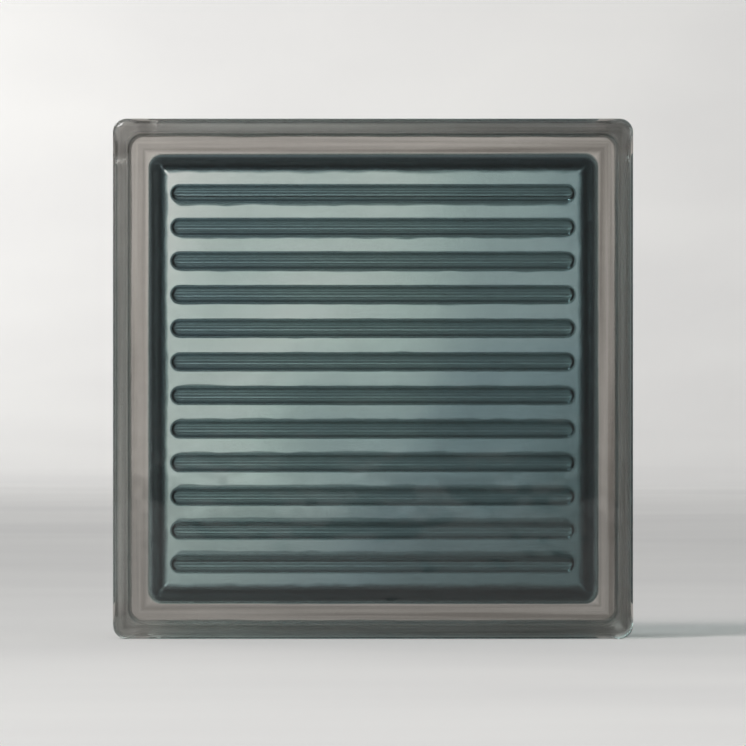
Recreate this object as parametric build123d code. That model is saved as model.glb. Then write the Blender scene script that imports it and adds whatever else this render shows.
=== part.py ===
"""A reeded hollow glass block: two pressed glass halves fused rim to rim round a sealed air space.

Each half is drawn the way its mould makes it: the smooth outer face lies at height 0, the reeded
inner face looks up, and the rim that is fused to the other half is at the top. Both halves are then
stood upright, the front one facing -Y and the back one facing +Y. The origin is the middle of the
footprint, at the level of the floor.
"""

from build123d import *
import math
import os

# Driving dimensions, in millimetres and degrees.
face_width = 190.0
block_depth = 80.0
face_corner_radius = 5.0
face_edge_radius = 2.5

# The rim behind each face is full width, and the joint side is sunk between the two rims.
rim_depth = 15.0
rim_back_bevel = 1.0
shoulder_depth = 4.0
key_depth = 6.0
key_corner_radius = 6.0
key_root_bevel = 1.2

# The fused seam stands a little proud of the wall, outside and inside.
seam_bead_height = 1.0
seam_bead_width = 3.2
seam_bead_bevel = 0.7

# The air space widens towards the seam, so that the plunger draws out.
pane_thickness = 6.5
frame_width = 13.0
cavity_corner_radius = 5.0
cavity_floor_radius = 4.5
cavity_draft = 1.5

# The reeds stand on the inner side of each pane and run from left to right.
reed_count = 12
reed_width = 5.8
reed_height = 1.9
reed_root_radius = 0.7
reed_end_draft = 15.0
reed_end_gap = 3.5
reed_field_inset = 2.0

# Sizes that follow from the driving ones.
half_depth = block_depth / 2
key_width = face_width - 2 * key_depth
cavity_depth = half_depth - pane_thickness
cavity_width = face_width - 2 * frame_width
cavity_mouth_width = cavity_width + 2 * cavity_depth * math.tan(math.radians(cavity_draft))
flat_pane_width = cavity_width - 2 * cavity_floor_radius
reed_length = flat_pane_width - 2 * reed_end_gap
reed_pitch = (cavity_width - 2 * reed_field_inset) / (reed_count + 1)
crest_radius = (reed_width**2 / 4 + reed_height**2) / (2 * reed_height)
crest_centre = reed_height - crest_radius
root_reach = math.sqrt((crest_radius + reed_root_radius) ** 2 - (reed_root_radius - crest_centre) ** 2)


def rounded_square(width, radius, height):
    """A square with round corners, lying flat at the given height."""
    return Pos(0, 0, height) * RectangleRounded(width, width, radius)


def rim_edges(solid, height, slack=0.01):
    """The edges that lie flat at one height."""
    level = solid.edges().filter_by_position(Axis.Z, height - slack, height + slack)
    return [edge for edge in level if edge.bounding_box().size.Z < slack]


def shoulder_section(sunk, height):
    """The outline of the half at the height where the shoulder has sunk so far."""
    corner_radius = face_corner_radius + (key_corner_radius - face_corner_radius) * sunk / key_depth
    return rounded_square(face_width - 2 * sunk, corner_radius, height).face()


def outer_form():
    """The outside of a half: smooth face, full-width rim, sloped shoulder and sunk joint side."""
    slope = math.hypot(key_depth, shoulder_depth)
    down, along = key_depth / slope, shoulder_depth / slope
    rim_height = rim_depth - rim_back_bevel
    foot_height = rim_depth + shoulder_depth + key_root_bevel
    rim = extrude(rounded_square(face_width, face_corner_radius, 0), rim_height)
    shoulder = loft(
        [
            shoulder_section(0, rim_height),
            shoulder_section(rim_back_bevel * down, rim_depth + rim_back_bevel * along),
            shoulder_section(
                key_depth - key_root_bevel * down, rim_depth + shoulder_depth - key_root_bevel * along
            ),
            shoulder_section(key_depth, foot_height),
        ],
        ruled=True,
    )
    joint_side = extrude(
        rounded_square(key_width, key_corner_radius, foot_height), half_depth - foot_height
    )
    form = rim + shoulder + joint_side
    return fillet(rim_edges(form, 0), face_edge_radius)


def air_space():
    """The shape of the plunger: a drafted pocket with a round edge to its floor."""
    floor = rounded_square(cavity_width, cavity_corner_radius, pane_thickness)
    pocket = extrude(floor, cavity_depth, taper=-cavity_draft)
    return fillet(rim_edges(pocket, pane_thickness), cavity_floor_radius)


def seam_bead():
    """Half of the thickened seam, where the two hot rims are pressed together and swell."""
    height = half_depth - seam_bead_width / 2
    outline = rounded_square(
        key_width + 2 * seam_bead_height, key_corner_radius + seam_bead_height, height
    )
    opening = rounded_square(
        cavity_mouth_width - 2 * seam_bead_height, cavity_corner_radius - seam_bead_height, height
    )
    ring = extrude(outline - opening, seam_bead_width / 2)
    return chamfer(rim_edges(ring, height), seam_bead_bevel)


def reed_section():
    """The cross-section of a reed and of the pane under it: a crest arc between two root arcs."""
    rise = math.degrees(math.atan2(reed_root_radius - crest_centre, root_reach))
    with BuildSketch(Plane.YZ.offset(-reed_length / 2)) as section:
        with BuildLine():
            CenterArc((0, crest_centre), crest_radius, rise, 180 - 2 * rise)
            CenterArc((-root_reach, reed_root_radius), reed_root_radius, -90, 90 - rise)
            CenterArc((root_reach, reed_root_radius), reed_root_radius, -90, rise - 90)
            Polyline(
                (-root_reach, 0), (-root_reach, -reed_height), (root_reach, -reed_height), (root_reach, 0)
            )
        make_face()
    return section.sketch


def reed():
    """One half-round reed with round, drafted ends, lying along X with its foot at height 0."""
    bar = extrude(reed_section(), reed_length)
    outline = SlotOverall(reed_length, 2 * root_reach)
    ends_above_pane = extrude(outline, 2 * reed_height, taper=reed_end_draft)
    ends_in_pane = extrude(outline, -reed_height)
    return bar & (ends_above_pane + ends_in_pane)


def pressed_half():
    """One half of the block as it leaves the press, face down."""
    half = outer_form() - air_space() + seam_bead()
    for i in range(reed_count):
        half += Pos(0, (i - (reed_count - 1) / 2) * reed_pitch, pane_thickness) * reed()
    return half


def main():
    os.makedirs("parts", exist_ok=True)
    upright = Plane(origin=(0, -half_depth, face_width / 2), x_dir=(1, 0, 0), z_dir=(0, 1, 0))
    front = (upright.location * pressed_half()).solid()
    back = (Rot(0, 0, 180) * front).solid()
    for name, half in (("front_half", front), ("back_half", back)):
        export_step(half, f"parts/{name}.step")
        print(name, "valid:", half.is_valid, "volume:", round(half.volume / 1000, 1), "cm3")


main()
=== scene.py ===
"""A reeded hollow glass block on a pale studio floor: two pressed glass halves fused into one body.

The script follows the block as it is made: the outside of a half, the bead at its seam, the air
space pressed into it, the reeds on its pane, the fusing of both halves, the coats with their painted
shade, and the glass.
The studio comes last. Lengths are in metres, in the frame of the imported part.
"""

import math

import bmesh
import bpy
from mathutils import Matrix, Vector


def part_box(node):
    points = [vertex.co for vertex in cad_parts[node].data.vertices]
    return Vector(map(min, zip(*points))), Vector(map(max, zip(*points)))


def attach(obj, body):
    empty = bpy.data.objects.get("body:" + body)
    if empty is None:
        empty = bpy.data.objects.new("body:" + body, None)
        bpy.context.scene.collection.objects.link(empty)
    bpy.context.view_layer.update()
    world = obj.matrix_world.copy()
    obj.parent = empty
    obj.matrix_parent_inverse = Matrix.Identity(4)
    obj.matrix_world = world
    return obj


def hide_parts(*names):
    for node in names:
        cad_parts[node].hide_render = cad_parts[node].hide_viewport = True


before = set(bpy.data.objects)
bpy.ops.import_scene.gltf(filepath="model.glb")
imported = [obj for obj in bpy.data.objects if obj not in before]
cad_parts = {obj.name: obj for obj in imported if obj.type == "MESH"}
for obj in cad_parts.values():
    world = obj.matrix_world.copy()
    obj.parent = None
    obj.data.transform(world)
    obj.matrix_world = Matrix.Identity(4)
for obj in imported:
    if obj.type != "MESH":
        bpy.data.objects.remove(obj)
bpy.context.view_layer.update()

# Outside of a half. It is pressed in one piece from clear glass: a smooth face with rounded edges,
# a full-width rim behind it, a sloped shoulder, and the sunk joint side that the mortar keys into.
mm = 0.001
low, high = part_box("front_half")
face_width = high.x - low.x
half_depth = high.y - low.y
middle = (0, 0, face_width / 2)
face_corner_radius = 5 * mm
face_edge_radius = 2.5 * mm
rim_depth = 15 * mm
rim_back_radius = 1.0 * mm
shoulder_depth = 4 * mm
key_depth = 6 * mm
key_root_radius = 1.2 * mm
rim_back = rim_depth - half_depth
key_start = rim_back + shoulder_depth
key_width = face_width - 2 * key_depth
round_steps = 10
small_round_steps = 5
near = 0.01 * mm
hair = 0.0001 * mm


def start(name, add, **where):
    """Adds a primitive at its place, names it and opens it in edit mode."""
    bpy.ops.object.select_all(action="DESELECT")
    add(**where)
    piece = bpy.context.object
    piece.name = name
    bpy.ops.object.transform_apply(location=True, rotation=True, scale=True)
    bpy.ops.object.mode_set(mode="EDIT")
    return piece


def pick(piece, kind, test, open_only=False):
    """Selects only the vertices, edges or faces whose corners pass the test, or only open edges."""
    bpy.ops.mesh.select_mode(type=kind)
    bpy.ops.mesh.select_all(action="DESELECT")
    shape = bmesh.from_edit_mesh(piece.data)
    for part in {"VERT": shape.verts, "EDGE": shape.edges, "FACE": shape.faces}[kind]:
        corners = [part] if kind == "VERT" else part.verts
        if test([corner.co for corner in corners]) and (not open_only or part.is_boundary):
            part.select_set(True)
    shape.select_flush_mode()
    bmesh.update_edit_mesh(piece.data)


def at_depth(y, slack=near):
    """A test for what lies wholly at one depth."""
    return lambda corners: all(abs(corner.y - y) < slack for corner in corners)


def beyond(y):
    """A test for what lies wholly between one depth and the seam."""
    return lambda corners: all(corner.y > y - near for corner in corners)


def straight_back(corners):
    """A test for the edges that run straight back."""
    return abs(corners[0].y - corners[1].y) > near


def cut_at(y):
    """Cuts the whole piece through at one depth."""
    bpy.ops.mesh.select_all(action="SELECT")
    bpy.ops.mesh.bisect(plane_co=(0, y, 0), plane_no=(0, 1, 0), threshold=hair)


def spread(width_before, width_after):
    """Scales the selection about the block's middle line, from one width to another."""
    share = width_after / width_before
    bpy.ops.transform.resize(value=(share, 1, share), center_override=middle)


outside = start(
    "glass_block",
    bpy.ops.mesh.primitive_cube_add,
    size=1,
    location=(0, -half_depth / 2, face_width / 2),
    scale=(face_width, half_depth, face_width),
)
pick(outside, "FACE", at_depth(0))
bpy.ops.mesh.delete(type="ONLY_FACE")
pick(outside, "EDGE", straight_back)
bpy.ops.mesh.bevel(offset=face_corner_radius, segments=round_steps)
cut_at(rim_back)
cut_at(key_start)
pick(outside, "VERT", beyond(key_start))
spread(face_width, key_width)

# Bead at the seam. The rims of both halves are heated and pressed together, and the soft glass
# swells a little, outside and inside, so a low round bead runs all round the joint.
bead_height = 1.0 * mm
bead_reach = 1.6 * mm
bead_steps = 6


def raise_bead(piece, width, outward):
    """Turns the last stretch before the seam into half of the bead."""
    for i in range(bead_steps + 1):
        y = -bead_reach * (1 - i / bead_steps)
        if i < bead_steps:
            cut_at(y)
        rise = bead_height * (1 + math.cos(math.pi * y / bead_reach)) / 2
        pick(piece, "VERT", at_depth(y))
        spread(width, width + 2 * outward * rise)


raise_bead(outside, key_width, 1)
for y, radius, steps in (
    (-half_depth, face_edge_radius, round_steps),
    (rim_back, rim_back_radius, small_round_steps),
    (key_start, key_root_radius, small_round_steps),
):
    pick(outside, "EDGE", at_depth(y))
    bpy.ops.mesh.bevel(offset=radius, segments=steps)
bpy.ops.object.mode_set(mode="OBJECT")

# Air space. The plunger presses this pocket into each half: a flat pane, a round edge to its floor,
# and walls that widen slightly towards the seam so that the plunger draws out.
pane_thickness = 6.5 * mm
frame_width = 13 * mm
cavity_corner_radius = 5 * mm
cavity_floor_radius = 4.5 * mm
cavity_floor_steps = 12
cavity_draft = math.radians(1.5)
# How far the painted shade in the pane's round edge reaches onto the flat pane.
edge_shade_reach = 1.6 * mm
pane_depth = half_depth - pane_thickness
cavity_width = face_width - 2 * frame_width
cavity_mouth_width = cavity_width + 2 * pane_depth * math.tan(cavity_draft)
flat_pane_width = cavity_width - 2 * cavity_floor_radius

air_space = start(
    "air_space",
    bpy.ops.mesh.primitive_cube_add,
    size=1,
    location=(0, -pane_depth / 2, face_width / 2),
    scale=(cavity_width, pane_depth, cavity_width),
)
pick(air_space, "FACE", at_depth(0))
bpy.ops.mesh.delete(type="ONLY_FACE")
pick(air_space, "EDGE", straight_back)
bpy.ops.mesh.bevel(offset=cavity_corner_radius, segments=round_steps)
pick(air_space, "VERT", at_depth(0))
spread(cavity_width, cavity_mouth_width)
raise_bead(air_space, cavity_mouth_width, -1)
pick(air_space, "EDGE", at_depth(-pane_depth))
bpy.ops.mesh.bevel(offset=cavity_floor_radius, segments=cavity_floor_steps)
pick(air_space, "FACE", at_depth(-pane_depth))
bpy.ops.mesh.delete(type="ONLY_FACE")
pick(air_space, "EDGE", at_depth(-pane_depth))
bpy.ops.mesh.extrude_region_move()
spread(flat_pane_width, flat_pane_width - 2 * edge_shade_reach)
bpy.ops.object.mode_set(mode="OBJECT")

# Reeds. Twelve half-round ribs with round ends stand on the inner side of the pane and run from left
# to right. They are cut as grooves in the plunger, so their roots are rounded too.
reed_count = 12
reed_width = 5.8 * mm
reed_height = 1.9 * mm
reed_root_radius = 0.7 * mm
reed_end_gap = 3.5 * mm
reed_field_inset = 2 * mm
# How far the painted shade on a reed spreads onto the pane round its root.
reed_shade_reach = 0.35 * mm
crest_steps = 64
root_steps = 6
ring_slack = 0.002 * mm
reed_weld = 0.005 * mm
reed_length = flat_pane_width - 2 * reed_end_gap
reed_pitch = (cavity_width - 2 * reed_field_inset) / (reed_count + 1)
lowest_reed_z = face_width / 2 - reed_pitch * (reed_count - 1) / 2
crest_radius = (reed_width**2 / 4 + reed_height**2) / (2 * reed_height)
crest_centre = reed_height - crest_radius
root_reach = math.sqrt((crest_radius + reed_root_radius) ** 2 - (reed_root_radius - crest_centre) ** 2)
crest_turn = math.asin(root_reach / (crest_radius + reed_root_radius))
crest_reach = crest_radius * math.sin(crest_turn)
root_height = crest_centre + crest_radius * math.cos(crest_turn)
end_x = reed_length / 2 - root_reach

reed = start(
    "reed",
    bpy.ops.mesh.primitive_uv_sphere_add,
    segments=crest_steps,
    ring_count=crest_steps,
    radius=crest_radius,
    location=(end_x, -pane_depth + crest_centre, lowest_reed_z),
    rotation=(math.pi / 2, 0, 0),
)
for cut_place, cut_way in (
    ((0, -pane_depth + root_height, 0), (0, 1, 0)),
    ((end_x, 0, 0), (1, 0, 0)),
):
    bpy.ops.mesh.select_all(action="SELECT")
    bpy.ops.mesh.bisect(plane_co=cut_place, plane_no=cut_way, clear_inner=True, threshold=hair)
rings = [(crest_reach, root_height)]
for i in range(1, root_steps + 1):
    turn = crest_turn * (1 - i / root_steps)
    ring_reach = root_reach - reed_root_radius * math.sin(turn)
    rings.append((ring_reach, reed_root_radius * (1 - math.cos(turn))))
rings.append((root_reach + reed_shade_reach, 0))
for (ring_reach, ring_height), (next_reach, next_height) in zip(rings, rings[1:]):
    share = next_reach / ring_reach
    pick(reed, "EDGE", at_depth(-pane_depth + ring_height, ring_slack))
    bpy.ops.mesh.extrude_region_move(
        TRANSFORM_OT_translate={"value": (0, next_height - ring_height, 0)}
    )
    bpy.ops.transform.resize(value=(share, 1, share), center_override=(end_x, 0, lowest_reed_z))
pick(reed, "EDGE", lambda corners: all(abs(corner.x - end_x) < ring_slack for corner in corners))
bpy.ops.mesh.extrude_region_move(TRANSFORM_OT_translate={"value": (-end_x, 0, 0)})
bpy.ops.object.mode_set(mode="OBJECT")


def finish_with(piece, kind, **settings):
    """Adds a modifier to the piece and applies it."""
    bpy.ops.object.select_all(action="DESELECT")
    bpy.context.view_layer.objects.active = piece
    piece.select_set(True)
    modifier = piece.modifiers.new(kind.lower(), kind)
    for setting, value in settings.items():
        setattr(modifier, setting, value)
    bpy.ops.object.modifier_apply(modifier=modifier.name)


finish_with(reed, "MIRROR", use_axis=(True, False, False), merge_threshold=reed_weld)
finish_with(
    reed,
    "ARRAY",
    count=reed_count,
    use_relative_offset=False,
    use_constant_offset=True,
    constant_offset_displace=(0, 0, reed_pitch),
)


# Pane. The flat glass between the reeds and the round floor edge closes the inner surface, so that
# reeds, pane and walls are one skin, as the plunger leaves it.
def join_to(piece, other):
    """Joins the other mesh to the piece."""
    bpy.ops.object.select_all(action="DESELECT")
    other.select_set(True)
    piece.select_set(True)
    bpy.context.view_layer.objects.active = piece
    bpy.ops.object.join()


join_to(air_space, reed)
bpy.ops.object.mode_set(mode="EDIT")
bpy.ops.mesh.select_all(action="SELECT")
bpy.ops.mesh.remove_doubles(threshold=ring_slack)
pick(air_space, "EDGE", at_depth(-pane_depth), open_only=True)
bpy.ops.mesh.fill(use_beauty=True)
bpy.ops.object.mode_set(mode="OBJECT")

# Fusing. The finished half is mirrored at the seam, and both become one hollow glass body, whose
# inner skin looks into the air space.
seam_weld = 0.01 * mm
skin_slack = 0.1 * mm
normal_weight = 100
join_to(outside, air_space)
glass_block = outside
finish_with(glass_block, "MIRROR", use_axis=(False, True, False), merge_threshold=seam_weld)


def to_side(corner):
    """How far a point lies from the block's middle line, measured towards its nearest side."""
    return max(abs(corner.x), abs(corner.z - face_width / 2))


def on_inner_skin(corners):
    """A test for what lies on the skin of the air space."""
    return all(
        to_side(corner) < cavity_mouth_width / 2 + skin_slack
        and abs(corner.y) < pane_depth + skin_slack
        for corner in corners
    )


bpy.ops.object.mode_set(mode="EDIT")
bpy.ops.mesh.select_all(action="SELECT")
bpy.ops.mesh.normals_make_consistent(inside=False)
pick(glass_block, "FACE", on_inner_skin)
bpy.ops.mesh.flip_normals()
bpy.ops.object.mode_set(mode="OBJECT")
bpy.ops.object.shade_smooth()
finish_with(glass_block, "WEIGHTED_NORMAL", weight=normal_weight, keep_sharp=True)
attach(glass_block, "root")
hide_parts("front_half", "back_half")

# Teal coat. It is fired on the inner skin. Painted shade makes it palest at one upper corner and
# deeper towards the other side. It is darker on the reeds and darkest, as a dark outline, in the round
# edge of the pane: the teal there is the coat's, the darkness is painted shade.
coat_colours_under_shade = (
    (0, (0.96, 0.99, 0.985, 1)),
    (0.35, (0.64, 0.77, 0.76, 1)),
    (0.65, (0.38, 0.495, 0.53, 1)),
    (1, (0.2, 0.29, 0.305, 1)),
)
# The reeds' colours: the coat's teal and blue, made darker by painted shade.
reed_teal_colour = (0.24, 0.345, 0.35, 1)
reed_blue_colour = (0.22, 0.33, 0.37, 1)
reed_shade_colour = (0.12, 0.19, 0.2, 1)
# Near black: painted shade, as a dark outline in the round edge of the pane.
edge_shade_colour = (0.035, 0.05, 0.055, 1)
shade_way = (1.3, 0, -1)
palest_place = -0.24
darkest_place = 0.14
drift_clouds = {"fineness": 12, "detail": 1, "none": 0.36, "full": 0.64}
drift_share = 0.09
pane_coat_depth = 0.5
reed_coat_and_shade_depth = 1
edge_shade_depth = 1.5
edge_shade_full_height = 0.28 * cavity_floor_radius
edge_shade_end_height = 0.98 * cavity_floor_radius


def share_between(value, none, full):
    """How far a value has come from one level to another, from 0 to 1."""
    return min(1, max(0, (value - none) / (full - none)))


# How deep the coat and its painted shade lie: bare, on the pane, on the reeds, in the round edge.
coat_and_shade = glass_block.data.attributes.new("coat_and_shade_depth", "FLOAT", "POINT")
for vertex, depth in zip(glass_block.data.vertices, coat_and_shade.data):
    above_pane = pane_depth - abs(vertex.co.y)
    above_lowest = vertex.co.z - lowest_reed_z
    row = min(reed_count - 1, max(0, round(above_lowest / reed_pitch)))
    from_reed = math.hypot(max(0, abs(vertex.co.x) - end_x), above_lowest - reed_pitch * row)
    if not on_inner_skin([vertex.co]):
        depth.value = 0
    elif to_side(vertex.co) > flat_pane_width / 2 - hair:
        share = share_between(above_pane, edge_shade_end_height, edge_shade_full_height)
        depth.value = pane_coat_depth + share * (edge_shade_depth - pane_coat_depth)
    else:
        share = share_between(from_reed, root_reach + reed_shade_reach, root_reach)
        depth.value = pane_coat_depth + share * (reed_coat_and_shade_depth - pane_coat_depth)


def join_inputs(material, node, inputs):
    """Sets each input of a node, by name or number, or joins it to another node's output."""
    for socket, value in inputs.items():
        if isinstance(value, bpy.types.NodeSocket):
            material.node_tree.links.new(value, node.inputs[socket])
        else:
            node.inputs[socket].default_value = value


def add_node(material, kind, inputs, **settings):
    """Adds a node with its settings, and sets or joins its inputs."""
    node = material.node_tree.nodes.new(kind)
    for setting, value in settings.items():
        setattr(node, setting, value)
    join_inputs(material, node, inputs)
    return node


def mixed(material, share, first, second):
    """Mixes two colours."""
    inputs = {0: share, 6: first, 7: second}
    return add_node(material, "ShaderNodeMix", inputs, data_type="RGBA").outputs[2]


def worked_out(material, operation, *values):
    """One step of arithmetic with numbers and other nodes' outputs."""
    inputs = dict(enumerate(values))
    return add_node(material, "ShaderNodeMath", inputs, operation=operation).outputs[0]


def ranged(material, value, none, full):
    """Stretches a value so that it runs from 0 at one level to 1 at the other."""
    inputs = {"Value": value, "From Min": none, "From Max": full}
    return add_node(material, "ShaderNodeMapRange", inputs).outputs[0]


def cloudy(material, place, fineness, detail, none, full):
    """A soft noise, stretched so that it runs from 0 at one level to 1 at the other."""
    inputs = {"Vector": place, "Scale": fineness, "Detail": detail}
    noise = add_node(material, "ShaderNodeTexNoise", inputs).outputs[0]
    return ranged(material, noise, none, full)


glass = bpy.data.materials.new("pressed_glass")
glass.use_nodes = True
place = add_node(glass, "ShaderNodeTexCoord", {}).outputs["Object"]
coat_and_shade_depth = add_node(glass, "ShaderNodeAttribute", {}, attribute_name="coat_and_shade_depth").outputs["Fac"]
drift = cloudy(glass, place, **drift_clouds)
lean = add_node(glass, "ShaderNodeVectorMath", {0: place, 1: shade_way}, operation="DOT_PRODUCT")
leaning = worked_out(glass, "MULTIPLY_ADD", drift, drift_share, lean.outputs["Value"])
# Painted shade: none at the palest upper corner, full at the deepest side, with a little random drift.
painted_shade = ranged(glass, leaning, palest_place, darkest_place)
ramp = add_node(glass, "ShaderNodeValToRGB", {"Fac": painted_shade})
for position, ramp_colour in coat_colours_under_shade[1:-1]:
    ramp.color_ramp.elements.new(position)
for stop, (position, ramp_colour) in zip(ramp.color_ramp.elements, coat_colours_under_shade):
    stop.color = ramp_colour
pane_coat_and_shade = ramp.outputs[0]
# The reeds' darker teal: the teal is the coat's, the darkness is painted shade that deepens with the
# rest.
reed_coat_and_shade = mixed(glass, drift, reed_teal_colour, reed_blue_colour)
reed_coat_and_shade = mixed(glass, painted_shade, reed_coat_and_shade, reed_shade_colour)
edge_share = ranged(glass, coat_and_shade_depth, reed_coat_and_shade_depth, edge_shade_depth)
shaded_coat = mixed(glass, edge_share, reed_coat_and_shade, edge_shade_colour)
pane_share = ranged(glass, coat_and_shade_depth, 0, pane_coat_depth)
shaded_coat_share = ranged(glass, coat_and_shade_depth, pane_coat_depth, reed_coat_and_shade_depth)


def with_coat_and_shade(bare_colour, strength):
    """The skin's colour: coat and painted shade at some strength, another colour where it is bare."""
    inputs = {"Gamma": strength}
    thin = add_node(glass, "ShaderNodeGamma", {"Color": pane_coat_and_shade, **inputs}).outputs[0]
    shaded = add_node(glass, "ShaderNodeGamma", {"Color": shaded_coat, **inputs}).outputs[0]
    return mixed(glass, shaded_coat_share, mixed(glass, pane_share, bare_colour, thin), shaded)


# Joint sides and frame. A thin milky coat dulls the joint sides, so that the mortar grips them. A
# streaky dark grey is painted on the frame round the pane, its streaks run along the block's edges,
# and painted shade deepens it as it does the coat.
milk_colour = (0.62, 0.595, 0.57, 1)
milk_share = 0.35
joint_roughness = 0.35
clear_colour = (0.93, 0.925, 0.91, 1)
hazy_colour = (0.78, 0.77, 0.75, 1)
frame_grey_colour = (0.17, 0.16, 0.145, 1)
haze_clouds = {"fineness": 26, "detail": 5, "none": 0.38, "full": 0.8}
streak_clouds = {"fineness": 6, "detail": 3, "none": 0.3, "full": 0.7}
streak_stretch = 60
frame_grey_start = cavity_width / 2 - 1 * mm
frame_grey_full = cavity_width / 2 + 1 * mm
frame_grey_fading = face_width / 2 - 2.5 * mm
frame_grey_end = face_width / 2 - 0.3 * mm
frame_shade_share = 0.6
deepest_frame_grey = 1.3

frost = glass_block.data.attributes.new("frost", "FLOAT", "POINT")
for vertex, dulled in zip(glass_block.data.vertices, frost.data):
    if on_inner_skin([vertex.co]):
        dulled.value = 0
    else:
        dulled.value = share_between(abs(vertex.co.y), -rim_back, -key_start)

frosted = add_node(glass, "ShaderNodeAttribute", {}, attribute_name="frost").outputs["Fac"]
roughness = worked_out(glass, "MULTIPLY", frosted, joint_roughness)
milkiness = worked_out(glass, "MULTIPLY", frosted, milk_share)
milk = add_node(glass, "ShaderNodeBsdfDiffuse", {"Color": milk_colour}).outputs[0]
haze = cloudy(glass, place, **haze_clouds)
outer_colour = mixed(glass, haze, clear_colour, hazy_colour)
parts = add_node(glass, "ShaderNodeSeparateXYZ", {0: place}).outputs
beside = worked_out(glass, "ABSOLUTE", parts["X"])
above = worked_out(glass, "SUBTRACT", parts["Z"], face_width / 2)
outwards = worked_out(glass, "MAXIMUM", beside, worked_out(glass, "ABSOLUTE", above))
across = worked_out(glass, "ADD", outwards, parts["Y"])
across = worked_out(glass, "MULTIPLY", across, streak_stretch)
streak_place = add_node(glass, "ShaderNodeCombineXYZ", {0: parts["X"], 1: parts["Z"], 2: across})
streaks = cloudy(glass, streak_place.outputs[0], **streak_clouds)
# The frame's grey deepens with the coat's painted shade, and stays only on the frame.
frame_grey_and_shade = worked_out(glass, "MULTIPLY_ADD", painted_shade, frame_shade_share, streaks)
frame_grey_and_shade = worked_out(glass, "MULTIPLY", frame_grey_and_shade, ranged(glass, outwards, frame_grey_start, frame_grey_full))
frame_grey_and_shade = worked_out(glass, "MULTIPLY", frame_grey_and_shade, ranged(glass, outwards, frame_grey_end, frame_grey_fading))
outer_colour_with_grey = mixed(glass, ranged(glass, frame_grey_and_shade, 0, deepest_frame_grey), outer_colour, frame_grey_colour)

# Glass. It is clear with a faint smoky grey in its depth, and slightly rippled from the press. The
# coats with their painted shade tint the light that enters it and, less, the light that runs inside
# it. Light that passes through the block leaves a tinted shadow.
glass_ior = 1.52
clear_inside_colour = (0.965, 0.96, 0.95, 1)
coat_and_shade_strength_from_air = 1.5
coat_and_shade_strength_from_glass = 0.75
smoke_colour = (0.68, 0.655, 0.63, 1)
smoke_density = 23
shadow_colour = (0.6, 0.66, 0.66, 1)
ripple_clouds = {"fineness": 45, "detail": 2, "none": 0, "full": 1}
ripple_height = 0.25 * mm

ripple = cloudy(glass, place, **ripple_clouds)
bump = add_node(glass, "ShaderNodeBump", {"Height": ripple, "Strength": 1, "Distance": ripple_height})
finish = {"Roughness": roughness, "IOR": glass_ior, "Normal": bump.outputs[0]}
colour_from_air = with_coat_and_shade(outer_colour_with_grey, coat_and_shade_strength_from_air)
seen_from_air = glass.node_tree.nodes["Principled BSDF"]
join_inputs(glass, seen_from_air, {"Base Color": colour_from_air, "Transmission Weight": 1, **finish})
colour_from_glass = with_coat_and_shade(clear_inside_colour, coat_and_shade_strength_from_glass)
seen_from_glass = add_node(glass, "ShaderNodeBsdfGlass", {"Color": colour_from_glass, **finish})
lets_light_through = add_node(glass, "ShaderNodeBsdfTransparent", {"Color": shadow_colour})
is_inside = add_node(glass, "ShaderNodeNewGeometry", {}).outputs["Backfacing"]
is_shadow = add_node(glass, "ShaderNodeLightPath", {}).outputs["Is Shadow Ray"]
surface = seen_from_air.outputs[0]
for share, other in (
    (is_inside, seen_from_glass.outputs[0]),
    (milkiness, milk),
    (is_shadow, lets_light_through.outputs[0]),
):
    surface = add_node(glass, "ShaderNodeMixShader", {0: share, 1: surface, 2: other}).outputs[0]
smoke = add_node(glass, "ShaderNodeVolumeAbsorption", {"Color": smoke_colour, "Density": smoke_density})
output = glass.node_tree.nodes["Material Output"]
join_inputs(glass, output, {"Surface": surface, "Volume": smoke.outputs[0]})
glass_block.data.materials.clear()
glass_block.data.materials.append(glass)

# Studio. A round floor of pale paper curves up all round into a wall, so that every view of the
# block has a plain pale ground.
floor_radius = 9.0
floor_steps = 96
wall_height = 5.0
cove_radius = 4.5
cove_steps = 24
paper_colour = (0.72, 0.71, 0.69, 1)
paper_shade = (0.68, 0.67, 0.655, 1)
paper_clouds = {"fineness": 3, "detail": 2, "none": 0.35, "full": 0.65}
paper_roughness = 0.9


def on_floor(corners):
    """A test for what lies wholly on the floor."""
    return all(abs(corner.z) < hair for corner in corners)


floor = start(
    "studio_floor",
    bpy.ops.mesh.primitive_circle_add,
    vertices=floor_steps,
    radius=floor_radius,
    fill_type="NOTHING",
)
pick(floor, "EDGE", on_floor)
bpy.ops.mesh.extrude_region_move(TRANSFORM_OT_translate={"value": (0, 0, wall_height)})
pick(floor, "EDGE", on_floor)
bpy.ops.mesh.edge_face_add()
pick(floor, "EDGE", on_floor)
bpy.ops.mesh.bevel(offset=cove_radius, segments=cove_steps)
bpy.ops.mesh.select_all(action="SELECT")
bpy.ops.mesh.normals_make_consistent(inside=True)
bpy.ops.object.mode_set(mode="OBJECT")
bpy.ops.object.shade_smooth()
paper = bpy.data.materials.new("pale_paper")
paper.use_nodes = True
paper_place = add_node(paper, "ShaderNodeTexCoord", {}).outputs["Object"]
paper_mix = mixed(paper, cloudy(paper, paper_place, **paper_clouds), paper_colour, paper_shade)
join_inputs(
    paper,
    paper.node_tree.nodes["Principled BSDF"],
    {"Base Color": paper_mix, "Roughness": paper_roughness, "Specular IOR Level": 0},
)
floor.data.materials.append(paper)

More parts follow.
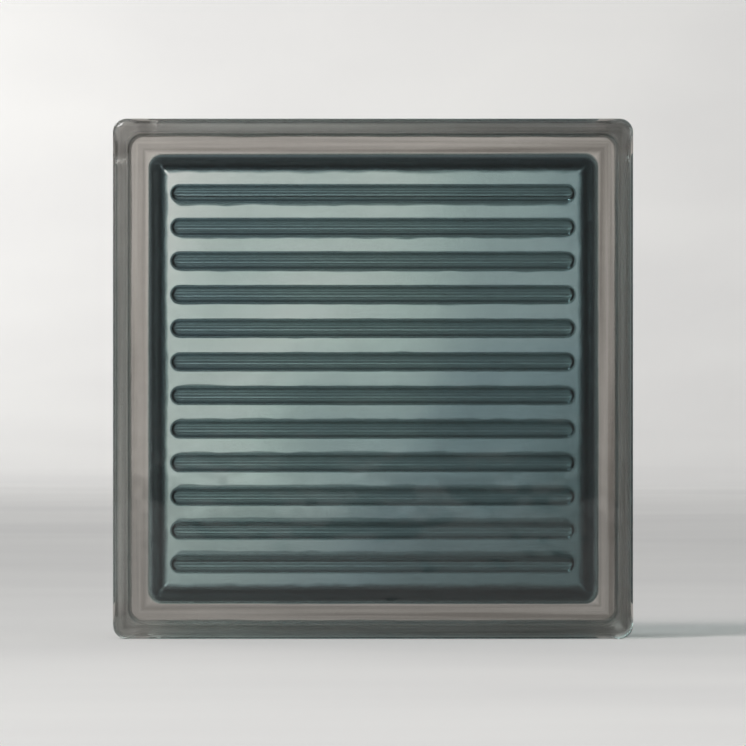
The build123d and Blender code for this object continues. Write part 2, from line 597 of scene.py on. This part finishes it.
# Lights. A large soft light stands at the upper left. Two more light the ground and the wall behind
# the block, because the glass shows what is behind it, and they make it brighter at the upper left.
air_colour = (0.95, 0.98, 1.0, 1)
air_brightness = 0.42

for lamp_name, lamp_place, lamp_width, watts, aim in (
    ("key_light", (-1.8, -2.0, 2.4), 1.6, 90, (0, 0, 0.1)),
    ("ground_light", (-1.9, 4.0, 2.6), 2.4, 42, (-0.6, 4.3, 0)),
    ("wall_light", (-1.7, 5.6, 2.0), 1.4, 46, (-0.8, 7.0, 0.5)),
):
    lamp = bpy.data.lights.new(lamp_name, "AREA")
    lamp.size = lamp_width
    lamp.energy = watts
    stand = bpy.data.objects.new(lamp_name, lamp)
    bpy.context.scene.collection.objects.link(stand)
    stand.location = lamp_place
    stand.rotation_euler = (Vector(aim) - Vector(lamp_place)).to_track_quat("-Z", "Y").to_euler()
world = bpy.data.worlds.new("studio_air")
bpy.context.scene.world = world
world.use_nodes = True
world.node_tree.nodes["Background"].inputs["Color"].default_value = air_colour
world.node_tree.nodes["Background"].inputs["Strength"].default_value = air_brightness

# Camera. It looks straight at the face, as the photograph does, from a little above the middle. Light
# may bounce often enough to pass both panes and to run along the glass.
camera_distance = 4.0
camera_height = 0.108
aim_height = 0.097
view_width_at_block = 0.275
sensor_width = 36
most_bounces = 24

lens_data = bpy.data.cameras.new("camera")
lens_data.sensor_width = sensor_width
lens_data.lens = sensor_width * camera_distance / view_width_at_block
camera = bpy.data.objects.new("camera", lens_data)
bpy.context.scene.collection.objects.link(camera)
camera.location = (0, -camera_distance, camera_height)
tilt = math.atan((camera_height - aim_height) / camera_distance)
camera.rotation_euler = (math.pi / 2 - tilt, 0, 0)
bpy.context.scene.camera = camera
bpy.context.scene.view_settings.view_transform = "Standard"
bpy.context.scene.cycles.denoising_input_passes = "RGB_ALBEDO"
bpy.context.scene.cycles.max_bounces = most_bounces
bpy.context.scene.cycles.transmission_bounces = most_bounces
bpy.context.scene.cycles.transparent_max_bounces = most_bounces
